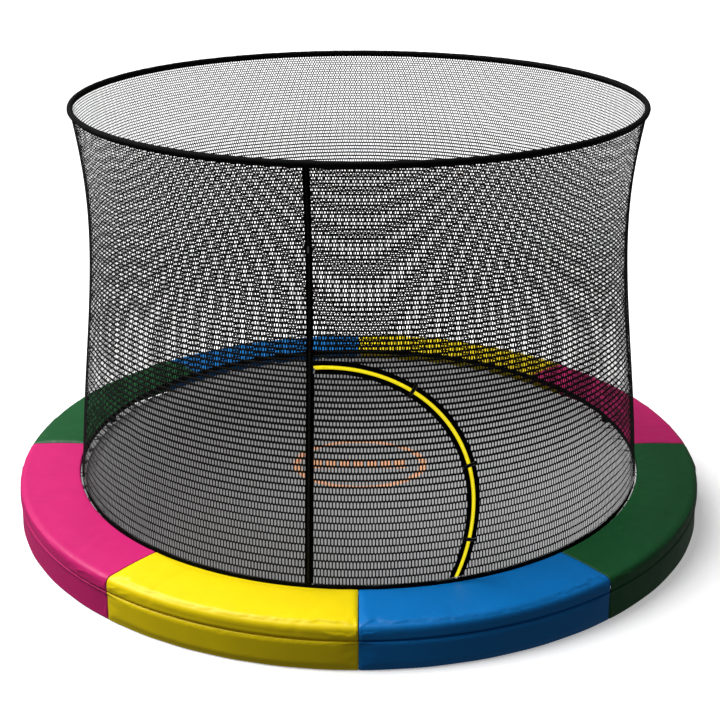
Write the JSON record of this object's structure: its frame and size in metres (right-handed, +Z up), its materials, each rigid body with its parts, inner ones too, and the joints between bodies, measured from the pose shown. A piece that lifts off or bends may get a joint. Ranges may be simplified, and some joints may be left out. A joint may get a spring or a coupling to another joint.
{
  "type": "trampoline",
  "caption": "Low round trampoline with coloured spring pads, a grey jump mat and a tall waisted net with a top hoop, a vertical zip and a D-shaped zipped door.",
  "frame": {"origin": "on the ground, at the centre of the trampoline", "axes": "+Z up, -Y towards the front, where the door is, +X to the right seen from the front"},
  "size_m": [3.0498, 3.05, 1.8115],
  "materials": {
    "galvanised_steel": "satin",
    "zinc_screws": "satin",
    "spring_steel": "satin",
    "foot_rubber": "matte",
    "jump_mat": "matte",
    "grey_webbing": "matte",
    "pad_yellow": "satin",
    "pad_blue": "satin",
    "pad_green": "satin",
    "pad_pink": "satin",
    "foam": "matte",
    "pad_backing": "matte",
    "elastic": "matte",
    "net": "matte",
    "sleeve_cloth": "matte",
    "fibreglass": "satin",
    "hook_plastic": "satin",
    "zip_black": "matte",
    "zip_yellow": "matte",
    "zip_metal": "satin"
  },
  "bodies": {
    "base": {"door_tab_patches": "zip_black", "door_zip_wall_binding": "zip_black", "door_zip_wall_coil": "zip_yellow", "door_zip_wall_tape": "zip_yellow", "foam_cores": "foam", "foot_caps": "foot_rubber", "frame_joint_1": "galvanised_steel", "frame_joint_2": "galvanised_steel", "frame_joint_3": "galvanised_steel", "frame_joint_4": "galvanised_steel", "frame_joint_5": "galvanised_steel", "frame_joint_6": "galvanised_steel", "frame_rail_1": "galvanised_steel", "frame_rail_2": "galvanised_steel", "frame_rail_3": "galvanised_steel", "frame_rail_4": "galvanised_steel", "frame_rail_5": "galvanised_steel", "frame_rail_6": "galvanised_steel", "frame_screws": "zinc_screws", "hem_hooks": "hook_plastic", "hoop_ferrules": "galvanised_steel", "hoop_rods": "fibreglass", "main_zip_coil": "zip_black", "main_zip_stops": "zip_black", "main_zip_tape": "zip_black", "net_hem": "sleeve_cloth", "net_top_sleeve": "sleeve_cloth", "net_wall": "net", "pad_back_left": "pad_blue", "pad_back_right": "pad_yellow", "pad_backing": "pad_backing", "pad_front_left": "pad_yellow", "pad_front_right": "pad_blue", "pad_left_back": "pad_green", "pad_left_front": "pad_pink", "pad_right_back": "pad_pink", "pad_right_front": "pad_green", "pad_straps": "elastic", "springs": "spring_steel"},
    "bed": {"mat": "jump_mat", "mat_rim": "grey_webbing", "ring_tabs": "grey_webbing", "v_rings": "spring_steel"},
    "door": {"net_door": "net", "door_hem": "sleeve_cloth", "door_zip_door_coil": "zip_yellow", "door_zip_door_tape": "zip_yellow", "door_zip_door_binding": "zip_black", "door_zip_slider": "zip_metal"},
    "door_pull": {"door_zip_pull": "zip_metal"},
    "main_slider": {"main_zip_slider": "zip_metal"},
    "main_pull": {"main_zip_pull": "zip_metal"},
    "tab_1": {"door_tab_1": "zip_black"},
    "tab_2": {"door_tab_2": "zip_black"},
    "tab_3": {"door_tab_3": "zip_black"}
  },
  "joints": [
    {"name": "mat_bounce", "type": "slide", "parent": "base", "child": "bed", "axis": [0, 0, 1], "range_m": [-0.1, 0], "stiffness_N_per_m": 5000, "springref_m": 0.03, "deforming": ["springs", "hem_hooks"]},
    {"name": "door_swing", "type": "hinge", "parent": "base", "child": "door", "pos_m": [-0.17465, -1.24268, 0.205], "axis": [-0.0141, -0.1005, -0.9948], "range_deg": [0, 100]},
    {"name": "door_tab_1_peel", "type": "hinge", "parent": "door", "child": "tab_1", "pos_m": [0.18127, -1.16575, 0.92932], "axis": [0.8211, 0.0802, -0.565], "range_deg": [0, 120]},
    {"name": "door_tab_2_peel", "type": "hinge", "parent": "door", "child": "tab_2", "pos_m": [0.38867, -1.14889, 0.63723], "axis": [0.2826, -0.0145, -0.9591], "range_deg": [0, 120]},
    {"name": "door_tab_3_peel", "type": "hinge", "parent": "door", "child": "tab_3", "pos_m": [0.3945, -1.17853, 0.35393], "axis": [-0.1772, -0.1558, -0.9718], "range_deg": [0, 120]},
    {"name": "main_zip_slide", "type": "slide", "parent": "base", "child": "main_slider", "axis": [-0.0117, -0.076, -0.997], "range_m": [0, 1.209]},
    {"name": "main_pull_swing", "type": "hinge", "parent": "main_slider", "child": "main_pull", "pos_m": [-0.17714, -1.14758, 1.49682], "axis": [-0.9883, 0.1526, 0], "range_deg": [0, 135]},
    {"name": "door_pull_swing", "type": "hinge", "parent": "door", "child": "door_pull", "pos_m": [-0.13529, -1.16411, 1.04478], "axis": [0.0798, -0.1011, -0.9917], "range_deg": [0, 135]}
  ]
}
